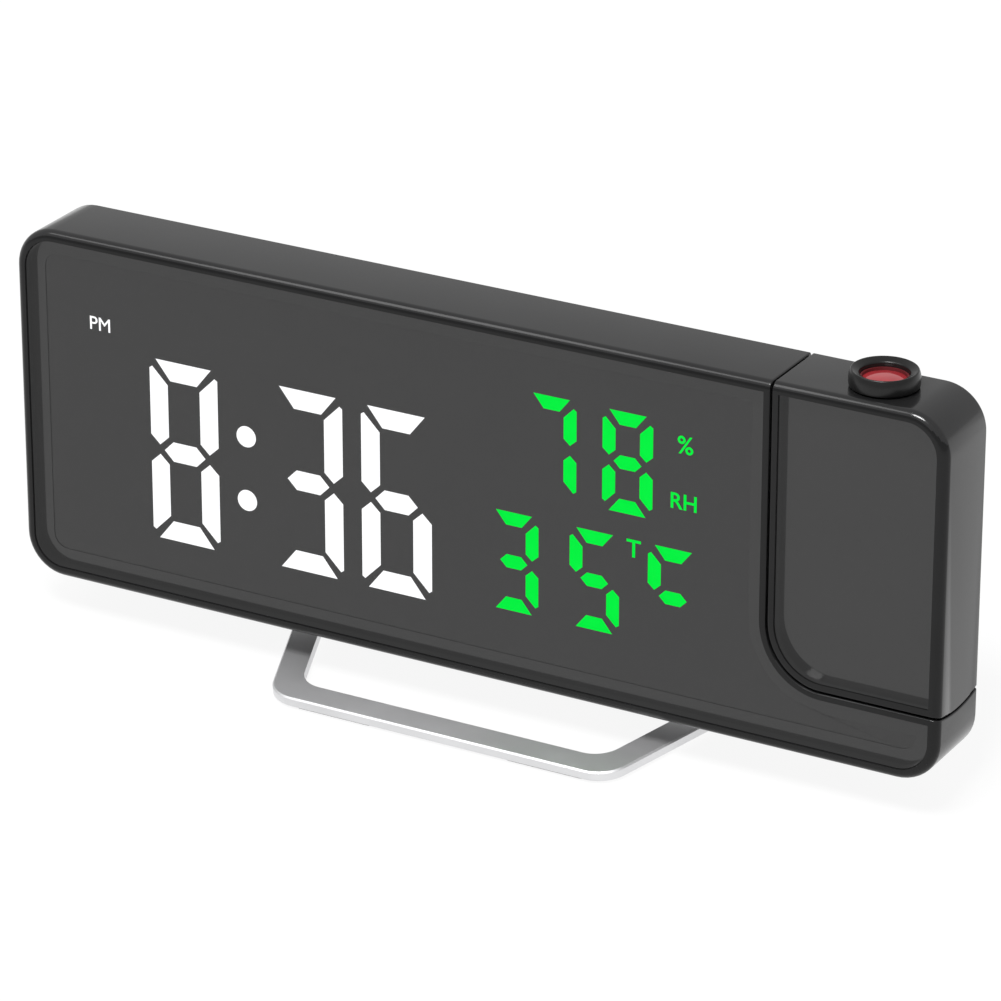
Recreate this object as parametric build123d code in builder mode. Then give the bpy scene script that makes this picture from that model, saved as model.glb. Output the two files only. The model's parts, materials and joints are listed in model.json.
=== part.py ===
from build123d import *
import os
from math import cos, radians, sin, tan

# Projection alarm clock: a slim case with a mirror front, a swivelling projector block
# at its top right corner and a bent metal stand.  Millimetres, +Z up, front towards -Y.
# Most pieces are placed in the leaning case frame: x across, v up from mid-height, s back
# from the front rim.

# ---------------------------------------------------------------- case
case_width = 190.0
case_height = 69.9
case_depth = 16.2
case_lean = 7.0               # degrees the case leans back
corner_radius = 8.0
rim_round = 1.6               # front outer edge
back_round = 0.6              # rear outer edge
case_wall = 2.0
fit_gap = 0.15                # between pieces that drop into each other
cut_margin = 10.0             # how far a cutter runs past what it cuts

# ---------------------------------------------------------------- window and shelf
window_recess = 0.35
window_thickness = 1.8
shelf_width = 2.2
shelf_thickness = 1.2
seam_wall = 1.2               # rim beside the swivel gap
seam_round = 0.3

# ---------------------------------------------------------------- swivel
projector_width = 33.7        # right edge of the case to the middle of the upright gap
swivel_gap = 0.4
pivot_drop = 28.0             # from the case's top down to the swivel axis
sill_height = 12.2            # what the case keeps below the projector
knee_radius = 11.0            # rounded lower inner corner of the projector
notch_wall = 1.8
sleeve_room = 1.25            # from the sleeve to the front shelf
sleeve_wall = 1.1
sleeve_flange = 1.2
flange_room = 0.05            # from the sleeve's flange to the front shelf
running_clearance = 0.05
washer_thickness = 0.5
clip_thickness = 1.0
clip_room = 0.25              # from the clip and washer to the front shelf
clip_land = 0.6               # sleeve left beyond the clip
clip_groove = 0.5
clip_slot = 2.4

# ---------------------------------------------------------------- rear cover
cover_plate = 1.6
housing_rise = 9.0            # raised housing behind the case's back
housing_wall = 1.8
housing_left_inset = 11.0     # from the case's left edge
housing_right_inset = 7.3     # from the gap beside the projector
housing_bottom_inset = 10.8
housing_top_inset = 6.8
housing_corner = 5.0
housing_round = 1.6

# ---------------------------------------------------------------- case screws
boss_radius = 2.5
boss_sink = 0.3               # how far a boss runs into the wall beside it
screw_radius = 0.95
screw_clearance = 0.05
head_radius = 1.9
head_height = 0.9
head_clearance = 0.2
case_screw_length = 8.0
cross_size = 2.0
cross_width = 0.5
cross_depth = 0.5
left_boss_drop = 12.8         # from the case's top and bottom to the bosses at its left
middle_boss_x = -17.0
seam_boss_inset = 5.8         # from the gap beside the projector
right_boss_inset = 9.0        # from the case's right edge

# ---------------------------------------------------------------- display
mask_gap = 0.1
mask_thickness = 1.0
segment_gap = 0.03
reflector_left_inset = 12.0   # from the case's left edge
reflector_right_inset = 10.3  # from the gap beside the projector
reflector_edge_inset = 8.3    # from the case's top and bottom
reflector_depth = 5.2
chamber_margin = 0.7
display_board_thickness = 1.2
display_screw_inset_x = 3.0
display_screw_inset_v = 2.6
led_size = 1.6
led_height = 0.8
time_half_width = 7.35
time_half_height = 18.0
time_bar = 3.9
time_v = -4.9
# across the display, as shares of its width from the case's left edge to the swivel gap
time_digits = {0.2228: "abcdefg", 0.3932: "abcdg", 0.5125: "acdefg"}
lead_digit_share = 0.1035     # the unlit one in front of the hours
colon_share = 0.3084
colon_reach = 6.38            # each dot above or below the digits' middle
colon_radius = 2.1
small_half_width = 5.04
small_half_height = 9.7
small_bar = 2.6
humidity_v = 12.85
humidity_digits = {0.717: "abc", 0.8149: "abcdefg"}
warmth_v = -11.3
warmth_digits = {0.6683: "abcdg", 0.7735: "acdfg", 0.8746: "afg"}
bar_gap = 0.95                # from a bar's tip to the corner it points at
bar_shoulder = 0.8            # from a digit's middle line to an upright bar's shoulder
corner_step = 1.35            # from a digit's corner to the end of its level bar
bar_taper = 0.8               # how far a level bar narrows, as a share of its height
tip_step = 0.6                # blunt outer tip of an upright bar
mark_height = 3.6
# each mark's window: across the display, up in half heights of its digits, width in mark heights
pm_mark_shares = (0.1062, 1.244, 1.6)
percent_mark_shares = (0.8874, 0.6, 1.1)
humidity_mark_shares = (0.8868, -0.515, 1.5)
warmth_mark_shares = (0.8247, 0.825, 0.95)

# ---------------------------------------------------------------- boards and sound
main_board_thickness = 1.2
main_board_setback = 7.0      # from the housing's back to the board's back
main_board_left_inset = 35.0  # all four from the housing's outer sides
main_board_right_inset = 4.0
main_board_low_inset = 4.0
main_board_top_inset = 6.0
board_boss_radius = 2.2
board_boss_inset = 5.0        # from the main board's sides and lower edge
board_boss_top_inset = 3.0
board_boss_low_inset = 10.0   # the lower pair, clear of the stand's screws
board_screw_length = 4.5
chip_size = 12.0              # the largest chip's side
# each chip: shares of the board's width and height, then sides in largest chip sides
chip_shares = [(0.313, 0.524, 1.0, 1.0), (0.566, 0.381, 0.5, 0.67), (0.798, 0.571, 0.42, 0.42)]
chip_height = 1.4
speaker_left_inset = 18.0     # from the housing's left side and top
speaker_top_inset = 11.0
speaker_radius = 8.0
speaker_magnet_radius = 5.0
speaker_rim = 2.8
speaker_height = 4.2
grille_slot = 1.2
grille_length = 11.0
grille_pitch = 2.6
grille_count = 5
sensor_offset = 16.0          # from the main board's left and lower edges
sensor_rise = 10.0
sensor_size = 5.0
sensor_height = 2.0
sensor_port_radius = 1.0
sensor_port_depth = 1.0
vent_slot = 1.0
vent_length = 7.0
vent_pitch = 2.4
vent_count = 4

# ---------------------------------------------------------------- rear buttons
button_drop = 15.5            # from the housing's top
button_pitch = 13.8           # the row stands over the middle of the main board
button_names = ("set", "up", "down", "alarm", "snooze")
button_width = 9.0
button_height = 5.0
button_rise = 0.9             # how far a cap stands out of the housing
button_gap = 0.3
button_flange = 0.8
button_flange_width = 1.2     # how far the flange stands out round the cap
button_edge_round = 0.35
button_travel = 0.6
switch_size = 6.0
plunger_radius = 1.7
plunger_height = 0.9

# ---------------------------------------------------------------- backup cell
cell_left_inset = 18.0        # from the housing's left side and bottom
cell_low_inset = 14.0
cell_radius = 10.0
cell_height = 3.2
cell_edge_round = 0.4
cell_gap = 0.2
tray_wall = 1.2
door_land = 0.1               # door opening beyond the tray
contact_width = 3.0
contact_gap = 0.05
door_thickness = 1.2
door_gap = 0.3
door_corner = 3.0
grip_inset = 4.5              # from the door opening's lower edge to the middle rib
grip_pitch = 1.6
grip_length = 8.0
grip_width = 0.7
grip_depth = 0.4
grip_count = 3

# ---------------------------------------------------------------- sockets
port_rise = 11.0              # from the housing's bottom
usb_inset = 26.0              # from the housing's right side
usb_width = 13.1
usb_height = 5.7
usb_shell = 0.5
usb_floor = 1.0
usb_tongue = 1.9
usb_tongue_lift = 0.6
usb_tongue_side = 0.6
usb_tongue_setback = 1.0
port_spacing = 18.0
dc_size = 9.0
dc_bore = 2.9
dc_floor = 1.2
dc_pin = 1.0
dc_pin_setback = 1.4
port_gap = 0.2
port_setback = 0.4            # how far a socket's mouth lies inside the housing's back

# ---------------------------------------------------------------- projector optics
lens_inset = 16.0             # from the case's right edge
ring_radius = 6.3
ring_lip_radius = 5.2
ring_height = 3.1
ring_flare = 0.8              # depth of the flare inside the ring's lip
ring_edge_round = 0.8
ring_gap = 0.3
neck_radius = 4.9
neck_bore = 4.4
neck_length = 5.2
carrier_radius = 4.32
carrier_rise = 1.9            # carrier's top above the case's top
carrier_length = 5.5
lens_radius = 3.95
lens_thickness = 2.0
lens_crown = 0.7
lens_flat = 0.4               # radius of the flat at the crown's middle
lens_sink = 0.5               # lens's edge below the carrier's top
lens_ledge = 0.5
lens_play = 0.03
optic_width = 13.0
optic_drop = 6.8              # from the case's top
optic_length = 20.6
optic_bore = 3.4
lcd_rise = 8.6                # from the optic block's lower end
lcd_thickness = 1.0
projector_board_left_inset = 4.0  # both from the projector's inner walls
projector_board_right_inset = 2.0
projector_board_thickness = 1.2
lamp_radius = 2.4
lamp_height = 3.0
lamp_dome = 1.4
projector_screw_length = 6.0
projector_boss_rise = 7.2     # right boss above the swivel axis
projector_boss_lift = 13.6    # left boss above the round gap

# ---------------------------------------------------------------- stand
stand_thickness = 2.0
stand_band = 5.4
stand_splay = 20.0            # degrees each arm turns outwards
stand_edge = 0.3
stand_corner = 6.5
stand_inner_corner = 5.5
corner_reach = 0.01           # how far from a line its corners are looked for
stand_bend = 3.0
stand_reach = 11.06           # front of the bar ahead of the case's lower front edge
stand_lift = 6.34             # case's lower front edge above the stand's top face
tab_rise = 15.0               # tab's top above the housing's bottom
tab_gap = 0.15
tab_half = 2.6                # half of a tab's width, inside its pocket
shoulder_gap = 0.5            # from the tab's shoulders up to the housing
pocket_inset = 6.9            # from the housing's right side to the middle of a pocket
pocket_wall = 1.4
pocket_corner = 1.0
stand_boss_height = 2.5
stand_screw_grip = 2.0        # thread inside that boss
pad_thickness = 0.5
pad_inset = 0.9
front_pad_x = 22.0
front_pad_length = 18.0
rear_pad_radius = 2.1

# ---------------------------------------------------------------- worked out
lean_sin = sin(radians(case_lean))
lean_cos = cos(radians(case_lean))
half_width = case_width / 2
half_height = case_height / 2
half_gap = swivel_gap / 2
seam_x = half_width - projector_width
display_span = half_width + seam_x
pivot_depth = case_depth / 2
pivot_v = half_height - pivot_drop
swivel_radius = pivot_v + half_height - sill_height    # middle of the round gap
lens_x = half_width - lens_inset
rear_depth = case_depth + housing_rise
window_back = window_recess + window_thickness
shelf_back = window_back + shelf_thickness
mask_front = window_back + mask_gap
reflector_front = mask_front + mask_thickness
display_board_front = reflector_front + reflector_depth
reflector_left = -half_width + reflector_left_inset
reflector_right = seam_x - reflector_right_inset
reflector_half_height = half_height - reflector_edge_inset
sleeve_radius = pivot_depth - shelf_back - sleeve_room
sleeve_bore = sleeve_radius - sleeve_wall
sleeve_flange_radius = pivot_depth - shelf_back - flange_room
clip_radius = pivot_depth - shelf_back - clip_room
cover_front = case_depth - cover_plate
housing_inside = rear_depth - housing_wall
housing_left = -half_width + housing_left_inset
housing_right = seam_x - housing_right_inset
housing_bottom = -half_height + housing_bottom_inset
housing_top = half_height - housing_top_inset
housing_x = (housing_left + housing_right) / 2
housing_v = (housing_bottom + housing_top) / 2
housing_width = housing_right - housing_left
housing_height = housing_top - housing_bottom
wall_boss = case_wall + boss_radius - boss_sink
projector_left = seam_x + half_gap
projector_inner_left = projector_left + notch_wall

main_board_back = rear_depth - main_board_setback
main_board_front = main_board_back - main_board_thickness
main_left = housing_left + main_board_left_inset
main_right = housing_right - main_board_right_inset
main_bottom = housing_bottom + main_board_low_inset
main_top = housing_top - main_board_top_inset
sensor_x = main_left + sensor_offset
sensor_v = main_bottom + sensor_rise
buttons_left = (main_left + main_right - (len(button_names) - 1) * button_pitch) / 2
speaker_x = housing_left + speaker_left_inset
speaker_v = housing_top - speaker_top_inset
cell_x = housing_left + cell_left_inset
cell_v = housing_bottom + cell_low_inset
tray_radius = cell_radius + cell_gap + tray_wall
door_size = 2 * (tray_radius + door_land)
button_v = housing_top - button_drop
usb_x = housing_right - usb_inset
dc_x = usb_x - port_spacing
port_v = housing_bottom + port_rise
tab_x = housing_right - pocket_inset
tab_top_v = housing_bottom + tab_rise
stand_hole_v = housing_bottom + tab_rise / 2
tab_screw_places = [(-tab_x, stand_hole_v), (tab_x, stand_hole_v)]
optic_top = half_height - optic_drop
optic_bottom = optic_top - optic_length
carrier_top = half_height + carrier_rise
carrier_bottom = carrier_top - carrier_length

# the box round the whole clock is centred on the origin
front_edge_z = pad_thickness + stand_thickness + stand_lift
rear_reach = ((half_height + housing_top - housing_round) * lean_sin
              + (rear_depth - housing_round) * lean_cos + housing_round)
front_edge_y = (stand_reach - rear_reach) / 2
back_dir = (0, lean_cos, -lean_sin)
up_dir = (0, lean_sin, lean_cos)


def across(share):
    """A place across the display as an x of the case."""
    return share * display_span - half_width


def spot(x, v, s):
    """A point of the leaning case as a point of the clock."""
    rise = half_height + v
    return Vector(x, front_edge_y + rise * lean_sin + s * lean_cos,
                  front_edge_z + rise * lean_cos - s * lean_sin)


def face_plane(s, x=0.0, v=0.0):
    """Parallel to the front, s behind the rim: sketches read (x, v), positive is forward."""
    return Plane(origin=spot(x, v, s), x_dir=(1, 0, 0), z_dir=(0, -lean_cos, lean_sin))


def level_plane(v, x=0.0, s=0.0):
    """Parallel to the case's top, positive is up."""
    return Plane(origin=spot(x, v, s), x_dir=(1, 0, 0), z_dir=up_dir)


def pivot_plane(x):
    """Across the swivel axis at x, positive is to the right."""
    return Plane(origin=spot(x, pivot_v, pivot_depth), x_dir=back_dir, z_dir=(1, 0, 0))


forward = Axis((0, 0, 0), (0, -lean_cos, lean_sin))
upward = Axis((0, 0, 0), up_dir)
pivot_axis = Axis(spot(0, pivot_v, pivot_depth), (1, 0, 0))
lens_axis = Axis(spot(lens_x, 0, pivot_depth), up_dir)


def swivel_space(grow):
    """The room the projector turns in, grown on all its inner sides."""
    left = seam_x - grow
    right = half_width + cut_margin
    low = pivot_v - swivel_radius - grow
    high = half_height + cut_margin
    with BuildPart() as space:
        with BuildSketch(face_plane(pivot_depth)) as profile:
            with BuildLine():
                Polyline((left, pivot_v), (left, low), (right, low), (right, pivot_v), close=True)
            make_face()
            knee = profile.vertices().sort_by(Axis.X)[:2].sort_by(Axis.Y)[0]
            fillet(knee, knee_radius + grow)
        revolve(axis=pivot_axis)
        with BuildSketch(face_plane(-cut_margin)):
            with Locations(((left + right) / 2, (pivot_v + high) / 2)):
                Rectangle(right - left, high - pivot_v)
        extrude(amount=-(case_depth + 2 * cut_margin))
    return space.part


def outline_block(inset, front, back):
    """The case's outline drawn in by inset, between two depths."""
    with BuildPart() as block:
        with BuildSketch(face_plane(front)):
            RectangleRounded(case_width - 2 * inset, case_height - 2 * inset, corner_radius - inset)
        extrude(amount=-(back - front))
    return block.part


def case_room(inset, front, back, seam_inset):
    """A block inside the case, clear of the projector's room."""
    return outline_block(inset, front, back) - swivel_space(half_gap + seam_inset)


def projector_room(inset, front, back, seam_inset):
    """A block inside the projector."""
    return outline_block(inset, front, back) & swivel_space(-half_gap - seam_inset)


def seam_edges(part):
    """The edges of a front face that run along the swivel gap."""
    front = part.faces().sort_by(forward)[-1]
    right = half_width - case_wall
    top = half_height - case_wall
    return front.edges().filter_by(
        lambda edge: seam_x - seam_wall < edge.center().X < right
        and (edge.center() - spot(0, 0, 0)).dot(Vector(*up_dir)) < top)


def save(piece, name):
    piece.part.label = name
    export_step(piece.part, f"parts/{name}.step")


os.makedirs("parts", exist_ok=True)

# ================================================================ outer blank
with BuildPart() as blank:
    with BuildSketch(face_plane(0)):
        RectangleRounded(case_width, case_height, corner_radius)
    extrude(amount=-case_depth)
    fillet(blank.faces().sort_by(forward)[-1].edges(), rim_round)
    fillet(blank.faces().sort_by(forward)[0].edges(), back_round)

swivel_room = swivel_space(half_gap)
projector_space = swivel_space(-half_gap)

# ================================================================ front case
case_pocket = case_room(case_wall, -cut_margin, window_back, seam_wall)
case_shelf_hole = case_room(case_wall + shelf_width, 0, case_depth, seam_wall + shelf_width)
case_hollow = case_room(case_wall, shelf_back, case_depth + cut_margin, notch_wall)
left_boss_x = -half_width + wall_boss
left_boss_v = half_height - left_boss_drop
top_boss_v = half_height - wall_boss
boss_places = [(left_boss_x, left_boss_v), (left_boss_x, -left_boss_v),
               (middle_boss_x, top_boss_v), (middle_boss_x, -top_boss_v),
               (seam_x - seam_boss_inset, top_boss_v),
               (half_width - right_boss_inset, -top_boss_v)]
screw_seat = case_depth - head_height - fit_gap      # where a screw head bears on the cover
screw_tip = screw_seat - case_screw_length

with BuildPart() as front_case:
    add(blank.part)
    add(swivel_room, mode=Mode.SUBTRACT)
    fillet(seam_edges(front_case), seam_round)
    add(case_pocket, mode=Mode.SUBTRACT)
    add(case_shelf_hole, mode=Mode.SUBTRACT)
    add(case_hollow, mode=Mode.SUBTRACT)
    with BuildSketch(face_plane(shelf_back)):
        with Locations(*boss_places):
            Circle(boss_radius)
    extrude(amount=-(cover_front - shelf_back))
    with BuildSketch(face_plane(screw_tip - fit_gap)):
        with Locations(*boss_places):
            Circle(screw_radius + screw_clearance)
    extrude(amount=-case_depth, mode=Mode.SUBTRACT)
    with BuildSketch(pivot_plane(seam_x)):
        Circle(sleeve_radius + running_clearance)
    extrude(amount=-(notch_wall + swivel_gap), mode=Mode.SUBTRACT)
save(front_case, "front_case")

# ================================================================ main window and display
window_inset = case_wall + fit_gap
window_blank = case_room(window_inset, window_recess, window_back, seam_wall + fit_gap)
with BuildPart() as display_window:
    add(window_blank)
save(display_window, "display_window")


def digit_bars(x, v, half_w, half_h, bar):
    """The seven bars of a digit as lists of corners."""
    def level(y, sign):
        end = half_w - corner_step
        short = end - bar_taper * bar
        return [(x - end, v + sign * y), (x + end, v + sign * y),
                (x + short, v + sign * (y - bar)), (x - short, v + sign * (y - bar))]

    def upright(side, sign):
        outer = half_w * side
        inner = (half_w - bar) * side
        middle = (half_w - bar / 2) * side
        tip = (half_w - tip_step) * side
        top = half_h - corner_step
        shoulder = bar / 2 + bar_shoulder
        return [(x + outer, v + sign * (top - tip_step)), (x + tip, v + sign * (top - tip_step / 3)),
                (x + inner, v + sign * (half_h - bar - bar_gap)), (x + inner, v + sign * shoulder),
                (x + middle, v + sign * bar_gap), (x + outer, v + sign * shoulder)]

    reach = half_w - bar / 2 - bar_gap
    flat = reach - bar / 2
    centre = [(x - reach, v), (x - flat, v + bar / 2), (x + flat, v + bar / 2),
              (x + reach, v), (x + flat, v - bar / 2), (x - flat, v - bar / 2)]
    return {"a": level(half_h, 1), "b": upright(1, 1), "c": upright(1, -1), "d": level(half_h, -1),
            "e": upright(-1, -1), "f": upright(-1, 1), "g": centre}


# each lit digit as its place, its lit bars, its half width and height, its bar and its colour
digit_cells = [(across(share), time_v, lit, time_half_width, time_half_height, time_bar, "white")
               for share, lit in time_digits.items()]
for row_v, digits in ((humidity_v, humidity_digits), (warmth_v, warmth_digits)):
    digit_cells += [(across(share), row_v, lit, small_half_width, small_half_height, small_bar, "green")
                    for share, lit in digits.items()]
colon_x = across(colon_share)
marks = [(across(share), row_v + rise * half_h, wide * mark_height)
         for (share, rise, wide), row_v, half_h in ((pm_mark_shares, time_v, time_half_height),
                                                    (percent_mark_shares, humidity_v, small_half_height),
                                                    (humidity_mark_shares, humidity_v, small_half_height),
                                                    (warmth_mark_shares, warmth_v, small_half_height))]


def bar_sets():
    """Every bar of the display, as corners, in its lit or unlit set."""
    sets = {"white": [], "green": [], "dark": []}
    for x, v, lit, half_w, half_h, bar, colour in digit_cells:
        for letter, corners in digit_bars(x, v, half_w, half_h, bar).items():
            sets[colour if letter in lit else "dark"].append(corners)
    lead = digit_bars(across(lead_digit_share), time_v, time_half_width, time_half_height, time_bar)
    sets["dark"] += [lead["b"], lead["c"]]
    return sets


def draw_bars(corner_lists):
    for corners in corner_lists:
        Polygon(*corners)


def draw_marks(shrink):
    for x, v, width in marks:
        with Locations((x, v)):
            Rectangle(width - 2 * shrink, mark_height - 2 * shrink)


def draw_dots(shrink):
    with Locations((colon_x, time_v + colon_reach), (colon_x, time_v - colon_reach)):
        Circle(colon_radius - shrink)


bars = bar_sets()
mask_inset = case_wall + shelf_width + fit_gap
mask_blank = case_room(mask_inset, mask_front, reflector_front,
                       seam_wall + shelf_width + fit_gap)

with BuildPart() as display_mask:
    add(mask_blank)
    with BuildSketch(face_plane(mask_front)):
        draw_bars(bars["white"] + bars["green"] + bars["dark"])
        draw_dots(0)
        draw_marks(0)
    extrude(amount=-mask_thickness, mode=Mode.SUBTRACT)
save(display_mask, "display_mask")

with BuildPart() as time_segments:
    with BuildSketch(face_plane(mask_front)):
        draw_bars(bars["white"])
        draw_dots(segment_gap)
    extrude(amount=-mask_thickness)
save(time_segments, "time_segments")

with BuildPart() as climate_segments:
    with BuildSketch(face_plane(mask_front)):
        draw_bars(bars["green"])
    extrude(amount=-mask_thickness)
save(climate_segments, "climate_segments")

with BuildPart() as unlit_segments:
    with BuildSketch(face_plane(mask_front)):
        draw_bars(bars["dark"])
    extrude(amount=-mask_thickness)
save(unlit_segments, "unlit_segments")

with BuildPart() as indicator_windows:
    with BuildSketch(face_plane(mask_front)):
        draw_marks(segment_gap)
    extrude(amount=-mask_thickness)
save(indicator_windows, "indicator_windows")

reflector_x = (reflector_left + reflector_right) / 2
reflector_width = reflector_right - reflector_left
reflector_height = 2 * reflector_half_height
display_screw_x = reflector_width / 2 - display_screw_inset_x
display_screw_v = reflector_half_height - display_screw_inset_v
display_screw_places = [(reflector_x + i * display_screw_x, j * display_screw_v)
                        for i in (-1, 1) for j in (-1, 1)]

with BuildPart() as display_reflector:
    with BuildSketch(face_plane(reflector_front)):
        with Locations((reflector_x, 0)):
            Rectangle(reflector_width, reflector_height)
        for x, v, lit, half_w, half_h, bar, colour in digit_cells:
            with Locations((x, v)):
                Rectangle(2 * (half_w + chamber_margin), 2 * (half_h + chamber_margin),
                          mode=Mode.SUBTRACT)
        with Locations((colon_x, time_v)):
            Rectangle(2 * (colon_radius + chamber_margin), 2 * time_half_height,
                      mode=Mode.SUBTRACT)
    extrude(amount=-reflector_depth)
    with BuildSketch(face_plane(display_board_front)):
        with Locations(*display_screw_places):
            Circle(screw_radius + screw_clearance)
    extrude(amount=reflector_depth - fit_gap, mode=Mode.SUBTRACT)
save(display_reflector, "display_reflector")

with BuildPart() as led_board:
    with BuildSketch(face_plane(display_board_front)):
        with Locations((reflector_x, 0)):
            Rectangle(reflector_width, reflector_height)
        with Locations(*display_screw_places):
            Circle(screw_radius + screw_clearance, mode=Mode.SUBTRACT)
    extrude(amount=-display_board_thickness)
save(led_board, "led_board")

with BuildPart() as display_leds:
    for x, v, lit, half_w, half_h, bar, colour in digit_cells:
        with BuildSketch(face_plane(display_board_front)):
            with Locations((x, v)):
                with GridLocations(0, half_h - led_size, 1, 3):
                    Rectangle(led_size, led_size)
                with GridLocations(2 * half_w - 2 * led_size, half_h, 2, 2):
                    Rectangle(led_size, led_size)
        extrude(amount=led_height)
save(display_leds, "display_leds")


def screws(places, seat, length, plane_of):
    """Cross-head screws, their heads behind the seat and their shanks in front of it."""
    with BuildPart() as group:
        with BuildSketch(plane_of(seat)):
            with Locations(*places):
                Circle(head_radius)
        extrude(amount=-head_height)
        with BuildSketch(plane_of(seat)):
            with Locations(*places):
                Circle(screw_radius)
        extrude(amount=length)
        with BuildSketch(plane_of(seat + head_height)):
            with Locations(*places):
                Rectangle(cross_size, cross_width)
                Rectangle(cross_width, cross_size)
        extrude(amount=cross_depth, mode=Mode.SUBTRACT)
    return group


display_screws = screws(display_screw_places, display_board_front + display_board_thickness,
                        reflector_depth - fit_gap, face_plane)
save(display_screws, "display_screws")

# ================================================================ stand, placed before the cover
tab_front = rear_depth + tab_gap
tab_back = tab_front + stand_thickness
stand_front_y = front_edge_y - stand_reach
stand_bottom_z = pad_thickness
stand_top_z = pad_thickness + stand_thickness
splay_tan = tan(radians(stand_splay))
arm_across = stand_band / cos(radians(stand_splay))
tab_middle = spot(0, tab_top_v, (tab_front + tab_back) / 2)
stand_half_front = tab_x + arm_across / 2 - (tab_middle.Y - stand_front_y) * splay_tan


def leaning_y(z, s):
    """Where a sheet at depth s of the leaning case meets the height z."""
    rise = (z - front_edge_z + s * lean_sin) / lean_cos
    return front_edge_y + rise * lean_sin + s * lean_cos


def arm_outer(y):
    return stand_half_front + (y - stand_front_y) * splay_tan


heel_y = leaning_y(stand_bottom_z, tab_back)
tab_top_front = spot(0, tab_top_v, tab_front)
tab_top_back = spot(0, tab_top_v, tab_back)
stand_back_y = tab_top_back.Y + cut_margin
shoulder_v = housing_bottom + housing_round - shoulder_gap

with BuildPart() as stand:
    with BuildSketch(Plane.YZ) as side_shape:
        with BuildLine():
            Polyline((stand_front_y, stand_bottom_z), (heel_y, stand_bottom_z),
                     (tab_top_back.Y, tab_top_back.Z), (tab_top_front.Y, tab_top_front.Z),
                     (leaning_y(stand_top_z, tab_front), stand_top_z),
                     (stand_front_y, stand_top_z), close=True)
        make_face()
        low_row = side_shape.vertices().sort_by(Axis.Y)
        fillet(low_row[:2].sort_by(Axis.X)[-1], stand_bend + stand_thickness)
        inner_heel = side_shape.vertices().sort_by_distance((leaning_y(stand_top_z, tab_front),
                                                             stand_top_z, 0))[0]
        fillet(inner_heel, stand_bend)
    extrude(amount=case_width / 2, both=True)
    with BuildSketch(Plane.XY) as plan:
        with BuildLine():
            Polyline((-stand_half_front, stand_front_y), (stand_half_front, stand_front_y),
                     (arm_outer(stand_back_y), stand_back_y),
                     (-arm_outer(stand_back_y), stand_back_y), close=True)
        make_face()
        fillet(plan.vertices().sort_by(Axis.Y)[:2], stand_corner)
        inner_y = stand_front_y + stand_band
        inner_x = arm_outer(inner_y) - arm_across
        far_y = stand_back_y + cut_margin
        far_x = arm_outer(far_y) - arm_across
        with BuildLine():
            Polyline((-inner_x, inner_y), (inner_x, inner_y), (far_x, far_y), (-far_x, far_y),
                     close=True)
        make_face(mode=Mode.SUBTRACT)
        fillet(plan.vertices().filter_by_position(Axis.Y, inner_y - corner_reach,
                                                  inner_y + corner_reach), stand_inner_corner)
    extrude(amount=case_height, mode=Mode.INTERSECT)
    # the tabs are straight and narrower than the arms, which leaves shoulders below the pockets
    with BuildSketch(face_plane(tab_front - cut_margin)):
        for x in (-tab_x, tab_x):
            for side in (-1, 1):
                with Locations((x + side * (tab_half + cut_margin / 2),
                                shoulder_v + case_height / 2)):
                    Rectangle(cut_margin, case_height)
    extrude(amount=-3 * cut_margin, mode=Mode.SUBTRACT)
    front_rim = stand.faces().filter_by(Axis.Y).sort_by(Axis.Y)[0]
    chamfer(front_rim.edges().filter_by(Axis.X), stand_edge)
    with BuildSketch(face_plane(tab_front - tab_gap)):
        with Locations(*tab_screw_places):
            Circle(screw_radius + screw_clearance)
    extrude(amount=-(stand_thickness + 2 * tab_gap), mode=Mode.SUBTRACT)
save(stand, "stand")

rear_pad_y = heel_y - stand_bend - stand_thickness - rear_pad_radius
rear_pad_x = arm_outer(rear_pad_y) - arm_across / 2
with BuildPart() as foot_pads:
    with BuildSketch(Plane.XY):
        with Locations((-front_pad_x, stand_front_y + stand_band / 2),
                       (front_pad_x, stand_front_y + stand_band / 2)):
            SlotOverall(front_pad_length, stand_band - 2 * pad_inset)
        with Locations((-rear_pad_x, rear_pad_y), (rear_pad_x, rear_pad_y)):
            Circle(rear_pad_radius)
    extrude(amount=pad_thickness)
save(foot_pads, "foot_pads")

# ================================================================ rear cover
button_places = {name: buttons_left + i * button_pitch for i, name in enumerate(button_names)}
board_boss_places = [(main_left + board_boss_inset, main_top - board_boss_top_inset),
                     (main_right - board_boss_inset, main_top - board_boss_top_inset),
                     (main_left + board_boss_low_inset, main_bottom + board_boss_inset),
                     (main_right - board_boss_low_inset, main_bottom + board_boss_inset)]
pocket_half = tab_half + fit_gap
pocket_back = tab_back + tab_gap
pocket_outer_half = pocket_half + pocket_wall
pocket_bottom = housing_bottom + housing_round
pocket_top = tab_top_v + fit_gap
pocket_block_v = (pocket_bottom + pocket_top + pocket_wall) / 2
pocket_slot_v = (pocket_bottom + pocket_top - cut_margin) / 2
cover_blank = case_room(case_wall + fit_gap, cover_front, case_depth, notch_wall + fit_gap)

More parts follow.
